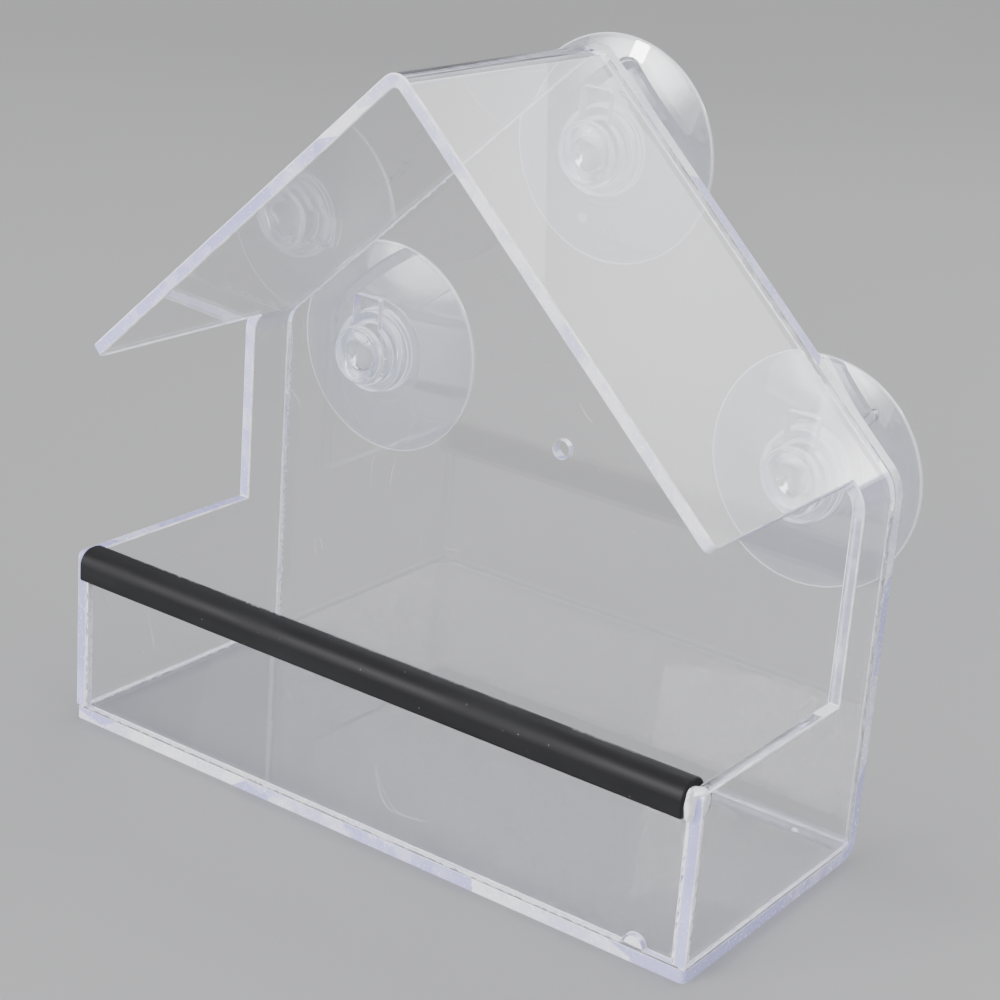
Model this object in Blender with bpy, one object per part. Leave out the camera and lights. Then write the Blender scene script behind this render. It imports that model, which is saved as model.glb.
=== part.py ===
"""A clear acrylic bird feeder shaped like a small house, held on a window by three suction cups.

Units are metres and +Z is up. The origin is the middle of the floor's underside. +Y points to the
window behind the feeder, and the open front faces -Y. Seven pieces make the feeder: a bent sheet
that is the back and the floor, a bent sheet that is the roof and both sides, a front panel, a
rubber edge trim that birds perch on, and three suction cups that ride up and down in keyholes.
"""
import math

import bmesh
import bpy
from mathutils import Vector

# The house
BODY_WIDTH = 0.150
BODY_DEPTH = 0.062
RIDGE_HEIGHT = 0.148
EAVE_HEIGHT = 0.078
TRAY_HEIGHT = 0.037
UPPER_SIDE_DEPTH = 0.0121

# The acrylic sheet and how it is bent, cut and glued
SHEET_THICKNESS = 0.0026
RIDGE_BEND_RADIUS = 0.0015
EAVE_BEND_RADIUS = 0.0054
FOOT_BEND_RADIUS = 0.0015
EAVE_RELIEF = 0.0006
CUT_CORNER_RADIUS = 0.0015
FLOOR_CORNER_RADIUS = 0.0008
GLUE_GAP = 0.0003

# The front panel and its drain notch
FRONT_PANEL_HEIGHT = 0.0335
DRAIN_NOTCH_RADIUS = 0.0022
DRAIN_NOTCH_INSET = 0.0085

# The rubber trim over the front panel's top edge
TRIM_HEIGHT = 0.0066
TRIM_CROWN_THICKNESS = 0.0018
TRIM_CROWN_FLAT = 0.0007
TRIM_LEG_THICKNESS = 0.0020
TRIM_GRIP_GAP = 0.0003
TRIM_LEG_END_RADIUS = 0.0007

# The suction cups, measured along their axis from the back panel's rear face
KNOB_RADIUS = 0.00645
KNOB_THICKNESS = 0.0030
KNOB_EDGE_RADIUS = 0.0010
KNOB_DIMPLE_RADIUS = 0.0016
KNOB_DIMPLE_DEPTH = 0.0006
NECK_RADIUS = 0.0031
COLLAR_RADIUS = 0.0088
COLLAR_THICKNESS = 0.0017
COLLAR_EDGE_RADIUS = 0.0003
BOSS_RADIUS = 0.0068
BOSS_HEIGHT = 0.0006
CUP_RADIUS = 0.0232
CUP_HEIGHT = 0.0075
CUP_ROOT_WALL = 0.0013
CUP_RIM_THICKNESS = 0.0008
CUP_RIM_FLAT = 0.0008
NIB_WIDTH = 0.0024
NIB_LENGTH = 0.0042
NIB_HEIGHT = 0.0010
NIB_PLACE_RADIUS = 0.0180
CUP_CLEARANCE = 0.0003

# Where the cups sit on the back panel, below the ridge and below the eaves, and the holes there
TOP_CUP_DROP = 0.0233
LOWER_CUP_DROP = 0.0058
LOWER_CUP_SPREAD = 0.0525
KEYHOLE_CLEARANCE = 0.00035
SLOT_CLEARANCE = 0.0003
SLOT_RISE = 0.0125
SLOT_CORNER_RADIUS = 0.0006
SCREW_HOLE_RADIUS = 0.0020
SCREW_HOLE_HEIGHT = 0.0645

# How far a cutter runs past what it cuts, how close two points are one place, how a bevel
# bulges to be round, and how finely round shapes are cut
CUTTER_OVERRUN = 0.002
SAME_PLACE = 0.00001
ROUND_PROFILE_SHARE = 0.5
BEND_STEPS = 6
CORNER_STEPS = 4
ROUND_STEPS = 40
HOLE_STEPS = 32
COLLAR_EDGE_STEPS = 2
DOME_STEPS = 8

# Angles in degrees: how far the right cup's nib is turned up from the right, how much two faces
# may turn and still be one flat face, and how much they may turn and still be shaded smooth
NIB_TURN = 51.0
FLAT_TURN = 0.05
SMOOTH_TURN = 40.0

# Places that follow from the sizes above
HALF_WIDTH = BODY_WIDTH / 2
FRONT_Y = -BODY_DEPTH / 2
REAR_Y = BODY_DEPTH / 2
PANEL_FRONT_Y = REAR_Y - SHEET_THICKNESS
SIDE_REAR_Y = PANEL_FRONT_Y - GLUE_GAP
UPPER_SIDE_FRONT_Y = SIDE_REAR_Y - UPPER_SIDE_DEPTH
GLUED_ON_FLOOR_Z = SHEET_THICKNESS + GLUE_GAP
SLOPE_ANGLE = math.atan2(RIDGE_HEIGHT - EAVE_HEIGHT, HALF_WIDTH)
KEYHOLE_RADIUS = KNOB_RADIUS + KEYHOLE_CLEARANCE
SLOT_HALF_WIDTH = NECK_RADIUS + SLOT_CLEARANCE


def clear_scene():
    for item in list(bpy.data.objects):
        bpy.data.objects.remove(item, do_unlink=True)


def principled(name, colour, roughness, transmission=0.0, ior=1.49):
    """A plain material of one colour, clear where transmission is 1."""
    material = bpy.data.materials.new(name)
    material.use_nodes = True
    shader = material.node_tree.nodes["Principled BSDF"]
    shader.inputs["Base Color"].default_value = (*colour, 1.0)
    shader.inputs["Roughness"].default_value = roughness
    shader.inputs["Metallic"].default_value = 0.0
    shader.inputs["Transmission Weight"].default_value = transmission
    shader.inputs["IOR"].default_value = ior
    material.diffuse_color = (*colour, 1.0)
    return material


def clear_acrylic(name):
    return principled(name, (0.93, 0.93, 0.98), 0.03, transmission=1.0, ior=1.49)


def clear_pvc(name):
    return principled(name, (0.90, 0.92, 0.96), 0.06, transmission=1.0, ior=1.53)


def black_rubber(name):
    return principled(name, (0.022, 0.022, 0.024), 0.55)


def place(name, mesh, material, location=(0.0, 0.0, 0.0)):
    """Makes the object of a piece and gives it its material."""
    item = bpy.data.objects.new(name, mesh)
    bpy.context.scene.collection.objects.link(item)
    item.location = location
    if material is not None:
        mesh.materials.append(material)
    return item


def finish_mesh(name, bm):
    """Closes a bmesh into a mesh whose faces point out."""
    bmesh.ops.recalc_face_normals(bm, faces=bm.faces)
    mesh = bpy.data.meshes.new(name)
    bm.to_mesh(mesh)
    bm.free()
    return mesh


def fillet(before, corner, after, radius, steps):
    """The points of a round corner of the given radius, from one straight run to the next."""
    into = (before - corner).normalized()
    out_of = (after - corner).normalized()
    half_angle = into.angle(out_of) / 2
    reach = radius / math.tan(half_angle)
    middle = corner + (into + out_of).normalized() * (radius / math.sin(half_angle))
    first = corner + into * reach - middle
    last = corner + out_of * reach - middle
    sweep = first.angle(last)
    points = []
    for step in range(steps + 1):
        share = step / steps
        blend = first * math.sin((1 - share) * sweep) + last * math.sin(share * sweep)
        points.append(middle + blend / math.sin(sweep))
    return points


def rounded_outline(corners, steps=CORNER_STEPS):
    """A closed outline from (x, y, radius) corners, in order."""
    points = []
    count = len(corners)
    for index, (x, y, radius) in enumerate(corners):
        corner = Vector((x, y))
        if not radius:
            points.append(corner)
            continue
        before = Vector(corners[index - 1][:2])
        after = Vector(corners[(index + 1) % count][:2])
        points.extend(fillet(before, corner, after, radius, steps))
    return points


def arc(centre_x, centre_y, radius, start, end, steps):
    """Points on an arc, both ends included. Angles are in radians."""
    angles = (start + (end - start) * step / steps for step in range(steps + 1))
    return [Vector((centre_x + radius * math.cos(a), centre_y + radius * math.sin(a))) for a in angles]


def extrude_along_y(name, outline, low, high):
    """A prism: an outline in X and Z, carried from one Y to another."""
    bm = bmesh.new()
    near = [bm.verts.new((p.x, low, p.y)) for p in outline]
    far = [bm.verts.new((p.x, high, p.y)) for p in outline]
    bm.faces.new(near)
    bm.faces.new(far)
    for index in range(len(outline)):
        after = (index + 1) % len(outline)
        bm.faces.new((near[index], near[after], far[after], far[index]))
    return finish_mesh(name, bm)


def extrude_along_x(name, outline, low, high):
    """A prism: an outline in Y and Z, carried from one X to another."""
    bm = bmesh.new()
    near = [bm.verts.new((low, p.x, p.y)) for p in outline]
    far = [bm.verts.new((high, p.x, p.y)) for p in outline]
    bm.faces.new(near)
    bm.faces.new(far)
    for index in range(len(outline)):
        after = (index + 1) % len(outline)
        bm.faces.new((near[index], near[after], far[after], far[index]))
    return finish_mesh(name, bm)


def cut(item, cutter, operation="DIFFERENCE"):
    """Adds a Boolean to a piece. The cutter or guide itself is never part of the model."""
    cutter.hide_render = True
    cutter.display_type = "WIRE"
    modifier = item.modifiers.new(cutter.name, "BOOLEAN")
    modifier.operation = operation
    modifier.solver = "EXACT"
    modifier.object = cutter


def bent_stations(corners, thickness, steps):
    """Pairs of an outer and an inner point down a bent sheet's profile.

    corners are the sharp outer corners as (across, up, inner bend radius), with the outer side on
    the left of the way along. A corner of radius zero is an end, or a station on a straight run.
    """
    stations = []
    for index, (across, up, radius) in enumerate(corners):
        corner = Vector((across, up))
        if radius:
            before = Vector(corners[index - 1][:2])
            after = Vector(corners[index + 1][:2])
            outer = fillet(before, corner, after, radius + thickness, steps)
            into = (before - corner).normalized()
            out_of = (after - corner).normalized()
            half_angle = into.angle(out_of) / 2
            middle = corner + (into + out_of).normalized() * ((radius + thickness) / math.sin(half_angle))
            share = radius / (radius + thickness)
            stations.extend((point, middle + (point - middle) * share) for point in outer)
        else:
            near = corners[index + 1] if index == 0 else corners[index - 1]
            along = (Vector(near[:2]) - corner).normalized()
            if index:
                along.negate()
            right = Vector((along.y, -along.x))
            stations.append((corner, corner + right * thickness))
    return stations


def bend_reach(turn, inner_radius):
    """How far a bend reaches along each of its two straight runs, from their sharp corner."""
    return (inner_radius + SHEET_THICKNESS) * math.tan(turn / 2)


def house_outline(foot_z):
    """The back panel's outline, flush with the roof's outside, from foot to foot."""
    eave_radius = EAVE_BEND_RADIUS + SHEET_THICKNESS
    ridge_radius = RIDGE_BEND_RADIUS + SHEET_THICKNESS
    corners = [
        (HALF_WIDTH, foot_z, 0.0),
        (HALF_WIDTH, EAVE_HEIGHT, eave_radius),
        (0.0, RIDGE_HEIGHT, ridge_radius),
        (-HALF_WIDTH, EAVE_HEIGHT, eave_radius),
        (-HALF_WIDTH, foot_z, 0.0),
    ]
    return rounded_outline(corners, BEND_STEPS)


def keyhole_outline():
    """A round hole that passes the knob, with a flat-topped slot above it for the neck."""
    meeting = math.acos(SLOT_HALF_WIDTH / KEYHOLE_RADIUS)
    points = arc(0.0, 0.0, KEYHOLE_RADIUS, math.pi - meeting, 2 * math.pi + meeting, HOLE_STEPS)
    above = Vector((SLOT_HALF_WIDTH, points[-1].y))
    right_top = Vector((SLOT_HALF_WIDTH, SLOT_RISE))
    left_top = Vector((-SLOT_HALF_WIDTH, SLOT_RISE))
    points += fillet(above, right_top, left_top, SLOT_CORNER_RADIUS, CORNER_STEPS)
    points += fillet(right_top, left_top, points[0], SLOT_CORNER_RADIUS, CORNER_STEPS)
    return points


def cup_places():
    """Each suction cup's name, the X and Z of its axis, and whether it has a nib."""
    lower_z = EAVE_HEIGHT - LOWER_CUP_DROP
    return (
        ("suction_cup_top", 0.0, RIDGE_HEIGHT - TOP_CUP_DROP, False),
        ("suction_cup_left", -LOWER_CUP_SPREAD, lower_z, False),
        ("suction_cup_right", LOWER_CUP_SPREAD, lower_z, True),
    )


def floor_stations():
    """The floor and its bend up into the back panel, as points in Y and Z, from the front."""
    outer_radius = FOOT_BEND_RADIUS + SHEET_THICKNESS
    corners = [
        (REAR_Y, outer_radius, 0.0),
        (REAR_Y, 0.0, FOOT_BEND_RADIUS),
        (FRONT_Y, 0.0, 0.0),
    ]
    stations = bent_stations(corners, SHEET_THICKNESS, BEND_STEPS)
    return stations[1:]


def make_back_and_floor():
    """One sheet: a house-shaped back panel, bent at its foot into a floor of full depth."""
    bm = bmesh.new()
    foot_z = FOOT_BEND_RADIUS + SHEET_THICKNESS
    outline = house_outline(foot_z)
    rear = [bm.verts.new((p.x, REAR_Y, p.y)) for p in outline]
    front = [bm.verts.new((p.x, PANEL_FRONT_Y, p.y)) for p in outline]
    bm.faces.new(rear)
    bm.faces.new(front)
    for index in range(len(outline) - 1):
        bm.faces.new((rear[index], rear[index + 1], front[index + 1], front[index]))

    right_ring = (rear[0], front[0])
    left_ring = (rear[-1], front[-1])
    for outer, inner in floor_stations()[1:]:
        rings = []
        for x in (HALF_WIDTH, -HALF_WIDTH):
            rings.append((bm.verts.new((x, outer.x, outer.y)), bm.verts.new((x, inner.x, inner.y))))
        bm.faces.new((right_ring[0], left_ring[0], rings[1][0], rings[0][0]))
        bm.faces.new((right_ring[1], left_ring[1], rings[1][1], rings[0][1]))
        bm.faces.new((right_ring[0], right_ring[1], rings[0][1], rings[0][0]))
        bm.faces.new((left_ring[0], left_ring[1], rings[1][1], rings[1][0]))
        right_ring, left_ring = rings
    bm.faces.new((right_ring[0], right_ring[1], left_ring[1], left_ring[0]))
    bmesh.ops.recalc_face_normals(bm, faces=bm.faces)
    front_corners = [bm.edges.get(right_ring), bm.edges.get(left_ring)]
    round_corners(bm, front_corners, FLOOR_CORNER_RADIUS)
    mesh = finish_mesh("back_and_floor_sheet", bm)
    sheet = place("back_and_floor_sheet", mesh, clear_acrylic("back_and_floor_acrylic"))
    cut_holes(sheet)
    return sheet


def cut_holes(sheet):
    """Cuts the three keyholes and the screw hole through the back panel."""
    holes = [
        (name.replace("suction_cup", "keyhole"), keyhole_outline(), x, z)
        for name, x, z, _ in cup_places()
    ]
    screw_ring = arc(0.0, 0.0, SCREW_HOLE_RADIUS, 0.0, 2 * math.pi, HOLE_STEPS)[:-1]
    holes.append(("screw_hole", screw_ring, 0.0, SCREW_HOLE_HEIGHT))
    for name, outline, x, z in holes:
        mesh = extrude_along_y(name, outline, -SHEET_THICKNESS - CUTTER_OVERRUN, CUTTER_OVERRUN)
        cutter = place(name, mesh, None, (x, REAR_Y, z))
        cutter.parent = sheet
        cut(sheet, cutter)


def round_corners(bm, edges, radius):
    """Rounds corners of a sheet in its own plane, given the edges through its thickness."""
    bmesh.ops.bevel(
        bm,
        geom=edges,
        offset=radius,
        offset_type="OFFSET",
        segments=CORNER_STEPS,
        profile=ROUND_PROFILE_SHARE,
        affect="EDGES",
    )


def stands_at(edge, y, z):
    """Whether an edge runs along X at the given Y and Z."""
    place_in_section = Vector((y, z))
    return all((vert.co.yz - place_in_section).length < SAME_PLACE for vert in edge.verts)


def roof_stations():
    """The roof-and-sides profile in X and Z from foot to foot, and where its parts begin.

    Returns the stations, and the numbers of the left tray top, the left eave cut, the right eave
    cut and the right tray top among them.
    """
    reach = bend_reach(math.pi / 2 - SLOPE_ANGLE, EAVE_BEND_RADIUS) + EAVE_RELIEF
    cut_x = HALF_WIDTH - reach * math.cos(SLOPE_ANGLE)
    cut_z = EAVE_HEIGHT + reach * math.sin(SLOPE_ANGLE)
    corners = [
        (-HALF_WIDTH, GLUED_ON_FLOOR_Z, 0.0),
        (-HALF_WIDTH, TRAY_HEIGHT, 0.0),
        (-HALF_WIDTH, EAVE_HEIGHT, EAVE_BEND_RADIUS),
        (-cut_x, cut_z, 0.0),
        (0.0, RIDGE_HEIGHT, RIDGE_BEND_RADIUS),
        (cut_x, cut_z, 0.0),
        (HALF_WIDTH, EAVE_HEIGHT, EAVE_BEND_RADIUS),
        (HALF_WIDTH, TRAY_HEIGHT, 0.0),
        (HALF_WIDTH, GLUED_ON_FLOOR_Z, 0.0),
    ]
    stations = bent_stations(corners, SHEET_THICKNESS, BEND_STEPS)
    left_cut = 2 + BEND_STEPS + 1
    right_cut = left_cut + 1 + BEND_STEPS + 1
    last = len(stations) - 1
    return stations, (1, left_cut, right_cut, last - 1)


def make_roof_and_sides():
    """One sheet bent at the ridge and at both eaves, cut back at the sides above the tray."""
    stations, (tray_left, cut_left, cut_right, tray_right) = roof_stations()
    levels = (FRONT_Y, UPPER_SIDE_FRONT_Y, SIDE_REAR_Y)
    bm = bmesh.new()
    grid = []
    for outer, inner in stations:
        row = [
            (bm.verts.new((outer.x, y, outer.y)), bm.verts.new((inner.x, y, inner.y)))
            for y in levels
        ]
        grid.append(row)

    def has_sheet(station, level):
        if station < 0 or station >= len(stations) - 1 or level < 0 or level > 1:
            return False
        if level == 1:
            return True
        return station < tray_left or cut_left <= station < cut_right or station >= tray_right

    for station in range(len(stations) - 1):
        for level in range(2):
            if not has_sheet(station, level):
                continue
            a, b = grid[station][level], grid[station + 1][level]
            c, d = grid[station + 1][level + 1], grid[station][level + 1]
            bm.faces.new((a[0], b[0], c[0], d[0]))
            bm.faces.new((a[1], b[1], c[1], d[1]))
            if not has_sheet(station, level - 1):
                bm.faces.new((a[0], b[0], b[1], a[1]))
            if not has_sheet(station, level + 1):
                bm.faces.new((d[0], c[0], c[1], d[1]))
            if not has_sheet(station - 1, level):
                bm.faces.new((a[0], d[0], d[1], a[1]))
            if not has_sheet(station + 1, level):
                bm.faces.new((b[0], c[0], c[1], b[1]))
    loose = [vert for vert in bm.verts if not vert.link_faces]
    bmesh.ops.delete(bm, geom=loose, context="VERTS")
    bmesh.ops.recalc_face_normals(bm, faces=bm.faces)

    front, middle, rear = range(3)
    last = len(stations) - 1
    cut_corners = [(tray_left, front), (tray_left, middle), (tray_right, front), (tray_right, middle)]
    roof_corners = [(cut_left, front), (cut_right, front)]
    foot_corners = [(0, rear), (last, rear)]
    edges = {}
    for kind, spots in (("cut", cut_corners), ("roof", roof_corners), ("foot", foot_corners)):
        edges[kind] = [bm.edges.get(grid[station][level]) for station, level in spots]
    keep = set(edges["cut"] + edges["roof"] + edges["foot"])
    flat = [edge for edge in bm.edges if edge not in keep]
    bmesh.ops.dissolve_limit(bm, angle_limit=math.radians(FLAT_TURN), verts=[], edges=flat)
    round_corners(bm, edges["cut"] + edges["roof"], CUT_CORNER_RADIUS)
    feet = [edge for edge in bm.edges if stands_at(edge, SIDE_REAR_Y, GLUED_ON_FLOOR_Z)]
    round_corners(bm, feet, FOOT_BEND_RADIUS - GLUE_GAP)
    mesh = finish_mesh("roof_and_sides_sheet", bm)
    return place("roof_and_sides_sheet", mesh, clear_acrylic("roof_and_sides_acrylic"))


def make_front_panel():
    """The upright front of the tray, between the sides, with a half-round drain notch."""
    half = HALF_WIDTH - SHEET_THICKNESS - GLUE_GAP
    notch_x = half - DRAIN_NOTCH_INSET
    outline = [Vector((-half, 0.0))]
    outline += arc(notch_x, 0.0, DRAIN_NOTCH_RADIUS, math.pi, 0.0, HOLE_STEPS // 2)
    outline += [
        Vector((half, 0.0)),
        Vector((half, FRONT_PANEL_HEIGHT)),
        Vector((-half, FRONT_PANEL_HEIGHT)),
    ]
    mesh = extrude_along_y("front_panel", outline, 0.0, SHEET_THICKNESS)
    material = clear_acrylic("front_panel_acrylic")
    return place("front_panel", mesh, material, (0.0, FRONT_Y, GLUED_ON_FLOOR_Z))


def make_perch_trim():
    """A soft channel pressed over the front panel's top edge, from side to side."""
    inner_half = SHEET_THICKNESS / 2 + TRIM_GRIP_GAP
    outer_half = inner_half + TRIM_LEG_THICKNESS
    crown_radius = outer_half - TRIM_CROWN_FLAT / 2
    foot = TRIM_CROWN_THICKNESS - TRIM_HEIGHT
    corners = [
        (outer_half, foot, TRIM_LEG_END_RADIUS),
        (outer_half, TRIM_CROWN_THICKNESS, crown_radius),
        (-outer_half, TRIM_CROWN_THICKNESS, crown_radius),
        (-outer_half, foot, TRIM_LEG_END_RADIUS),
        (-inner_half, foot, TRIM_LEG_END_RADIUS),
        (-inner_half, 0.0, 0.0),
        (inner_half, 0.0, 0.0),
        (inner_half, foot, TRIM_LEG_END_RADIUS),
    ]
    outline = rounded_outline(corners, BEND_STEPS)
    half = HALF_WIDTH - SHEET_THICKNESS - GLUE_GAP
    mesh = extrude_along_x("perch_edge_trim", outline, -half, half)
    top_z = GLUED_ON_FLOOR_Z + FRONT_PANEL_HEIGHT + TRIM_GRIP_GAP
    middle_y = FRONT_Y + SHEET_THICKNESS / 2
    trim = place("perch_edge_trim", mesh, black_rubber("perch_rubber"), (0.0, middle_y, top_z))
    mesh.shade_smooth()
    mesh.set_sharp_from_angle(angle=math.radians(SMOOTH_TURN))
    return trim


def cup_profile():
    """The cup's turned profile as (radius, along axis), from the knob's middle to the hollow's."""
    knob_rear = -SHEET_THICKNESS - CUP_CLEARANCE
    knob_front = knob_rear - KNOB_THICKNESS
    collar_front = CUP_CLEARANCE
    collar_rear = collar_front + COLLAR_THICKNESS
    dome_root = collar_rear + BOSS_HEIGHT
    rim_outer = CUP_HEIGHT - CUP_RIM_THICKNESS
    hollow_deep = dome_root + CUP_ROOT_WALL
    rim_inner_radius = CUP_RADIUS - CUP_RIM_FLAT

    profile = [
        Vector((0.0, knob_front + KNOB_DIMPLE_DEPTH)),
        Vector((KNOB_DIMPLE_RADIUS - KNOB_DIMPLE_DEPTH, knob_front + KNOB_DIMPLE_DEPTH)),
        Vector((KNOB_DIMPLE_RADIUS, knob_front)),
    ]
    inner_end = Vector((0.0, knob_front))
    front_corner = Vector((KNOB_RADIUS, knob_front))
    rear_corner = Vector((KNOB_RADIUS, knob_rear))
    neck_top = Vector((NECK_RADIUS, knob_rear))
    profile += fillet(inner_end, front_corner, rear_corner, KNOB_EDGE_RADIUS, CORNER_STEPS)
    profile += fillet(front_corner, rear_corner, neck_top, KNOB_EDGE_RADIUS, CORNER_STEPS)
    profile += [neck_top, Vector((NECK_RADIUS, collar_front))]
    collar_first = Vector((COLLAR_RADIUS, collar_front))
    collar_last = Vector((COLLAR_RADIUS, collar_rear))
    collar_middle = Vector((0.0, collar_rear))
    profile += fillet(profile[-1], collar_first, collar_last, COLLAR_EDGE_RADIUS, COLLAR_EDGE_STEPS)
    profile += fillet(collar_first, collar_last, collar_middle, COLLAR_EDGE_RADIUS, COLLAR_EDGE_STEPS)
    profile.append(Vector((BOSS_RADIUS, collar_rear)))
    for step in range(DOME_STEPS + 1):
        radius = BOSS_RADIUS + (CUP_RADIUS - BOSS_RADIUS) * step / DOME_STEPS
        rise_share = (radius**2 - BOSS_RADIUS**2) / (CUP_RADIUS**2 - BOSS_RADIUS**2)
        profile.append(Vector((radius, dome_root + (rim_outer - dome_root) * rise_share)))
    profile.append(Vector((CUP_RADIUS, CUP_HEIGHT)))
    for step in range(DOME_STEPS + 1):
        radius = rim_inner_radius * (1 - step / DOME_STEPS)
        depth_share = (radius / rim_inner_radius) ** 2
        profile.append(Vector((radius, hollow_deep + (CUP_HEIGHT - hollow_deep) * depth_share)))
    return profile


def turned_mesh(name, profile):
    """Turns a profile that starts and ends on the axis about the Y axis."""
    bm = bmesh.new()
    first = bm.verts.new((0.0, profile[0].y, 0.0))
    last = bm.verts.new((0.0, profile[-1].y, 0.0))
    rings = []
    for point in profile[1:-1]:
        ring = []
        for step in range(ROUND_STEPS):
            angle = 2 * math.pi * step / ROUND_STEPS
            ring.append(bm.verts.new((point.x * math.cos(angle), point.y, point.x * math.sin(angle))))
        rings.append(ring)
    for step in range(ROUND_STEPS):
        after = (step + 1) % ROUND_STEPS
        bm.faces.new((first, rings[0][step], rings[0][after]))
        bm.faces.new((last, rings[-1][after], rings[-1][step]))
        for near, far in zip(rings, rings[1:]):
            bm.faces.new((near[step], far[step], far[after], near[after]))
    return finish_mesh(name, bm)


def nib_mesh():
    """A small round-ended tab that lies on the dome, pointing away from the cup's middle."""
    end_radius = NIB_WIDTH / 2
    straight = NIB_LENGTH / 2 - end_radius
    outline = arc(straight, 0.0, end_radius, -math.pi / 2, math.pi / 2, CORNER_STEPS)
    outline += arc(-straight, 0.0, end_radius, math.pi / 2, 3 * math.pi / 2, CORNER_STEPS)
    outline = [Vector((p.x + NIB_PLACE_RADIUS, p.y)) for p in outline]
    dome_root = CUP_CLEARANCE + COLLAR_THICKNESS + BOSS_HEIGHT
    rim_outer = CUP_HEIGHT - CUP_RIM_THICKNESS
    rise_share = (NIB_PLACE_RADIUS**2 - BOSS_RADIUS**2) / (CUP_RADIUS**2 - BOSS_RADIUS**2)
    surface = dome_root + (rim_outer - dome_root) * rise_share
    return extrude_along_y("cup_nib", outline, surface - NIB_HEIGHT, surface + CUP_ROOT_WALL / 2)


def make_suction_cups():
    """Three equal cups. Each one's origin is on its axis, at the back panel's rear face."""
    for name, x, z, has_nib in cup_places():
        mesh = turned_mesh(name, cup_profile())
        mesh.shade_smooth()
        mesh.set_sharp_from_angle(angle=math.radians(SMOOTH_TURN))
        cup = place(name, mesh, clear_pvc(name + "_pvc"), (x, REAR_Y, z))
        if has_nib:
            nib = place(name + "_nib", nib_mesh(), None)
            nib.rotation_euler = (0.0, math.radians(-NIB_TURN), 0.0)
            nib.parent = cup
            cut(cup, nib, "UNION")


def main():
    clear_scene()
    make_back_and_floor()
    make_roof_and_sides()
    make_front_panel()
    make_perch_trim()
    make_suction_cups()


main()
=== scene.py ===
"""Looks of a clear acrylic window bird feeder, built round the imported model.

Lengths are metres in the model's own frame: +Z is up, +Y points to the window behind the feeder,
and the open front faces -Y. The sheets, the trim and the cups are built again here with true
bends, eased edges and moulded steps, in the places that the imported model's boxes give.
"""
import math
import random

import bmesh
import bpy
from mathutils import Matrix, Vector


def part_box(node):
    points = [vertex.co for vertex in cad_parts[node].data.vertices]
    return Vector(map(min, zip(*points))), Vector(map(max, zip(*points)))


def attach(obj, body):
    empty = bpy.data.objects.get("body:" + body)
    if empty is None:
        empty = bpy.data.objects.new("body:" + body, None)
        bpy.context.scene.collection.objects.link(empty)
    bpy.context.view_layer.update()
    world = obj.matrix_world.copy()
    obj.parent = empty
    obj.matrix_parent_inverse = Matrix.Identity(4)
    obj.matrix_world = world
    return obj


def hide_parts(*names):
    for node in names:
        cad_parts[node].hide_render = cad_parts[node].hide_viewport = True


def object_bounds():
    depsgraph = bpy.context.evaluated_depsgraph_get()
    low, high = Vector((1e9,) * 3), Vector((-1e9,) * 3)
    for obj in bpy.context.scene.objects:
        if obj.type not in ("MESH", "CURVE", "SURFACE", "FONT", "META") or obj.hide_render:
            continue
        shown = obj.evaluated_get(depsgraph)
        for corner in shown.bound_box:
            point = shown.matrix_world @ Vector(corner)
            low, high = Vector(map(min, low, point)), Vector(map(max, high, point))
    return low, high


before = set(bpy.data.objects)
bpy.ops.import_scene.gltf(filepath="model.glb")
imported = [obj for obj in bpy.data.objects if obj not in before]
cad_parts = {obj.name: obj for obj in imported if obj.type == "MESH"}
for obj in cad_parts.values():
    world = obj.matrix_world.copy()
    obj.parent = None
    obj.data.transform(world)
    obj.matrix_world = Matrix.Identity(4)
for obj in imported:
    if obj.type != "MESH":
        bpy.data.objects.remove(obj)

CAD_LOW, CAD_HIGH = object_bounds()
PANEL_LOW, PANEL_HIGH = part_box("back_and_floor_sheet")
ROOF_LOW, ROOF_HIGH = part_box("roof_and_sides_sheet")
FRONT_LOW, FRONT_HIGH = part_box("front_panel")
TRIM_LOW, TRIM_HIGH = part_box("perch_edge_trim")
CUP_LOW, CUP_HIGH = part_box("suction_cup_top")
HOUSE = "house"

# The house
HALF_WIDTH = PANEL_HIGH.x
FRONT_Y = PANEL_LOW.y
REAR_Y = PANEL_HIGH.y
RIDGE_HEIGHT = 0.148
EAVE_HEIGHT = 0.078
TRAY_HEIGHT = 0.037
UPPER_SIDE_DEPTH = 0.0121
SLOPE_ANGLE = math.atan2(RIDGE_HEIGHT - EAVE_HEIGHT, HALF_WIDTH)

# The acrylic sheet and how it is bent, cut and glued
SHEET = FRONT_HIGH.y - FRONT_LOW.y
RIDGE_BEND = 0.0015
EAVE_BEND = 0.0054
FOOT_BEND = 0.0015
EAVE_RELIEF = 0.0006
CUT_CORNER = 0.0015
FLOOR_CORNER = 0.0013
ARRIS = 0.0003
GLUE_WETTING = 0.00003
GLUE_GAP = ROOF_LOW.z - SHEET
GLUE_FILM = GLUE_GAP + 2 * GLUE_WETTING
GLUE_RAGGED = SHEET * 0.3
GLUE_STEP = 0.0007
PANEL_FRONT_Y = REAR_Y - SHEET
SIDE_REAR_Y = ROOF_HIGH.y
UPPER_SIDE_FRONT_Y = SIDE_REAR_Y - UPPER_SIDE_DEPTH

# The painted highlight at the rear end of the right tray edge, up to the upper side: a white, nearly
# opaque patch
PAINTED_HIGHLIGHT_LENGTH = 0.0060
PAINTED_HIGHLIGHT_FADE = 0.0001

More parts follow.
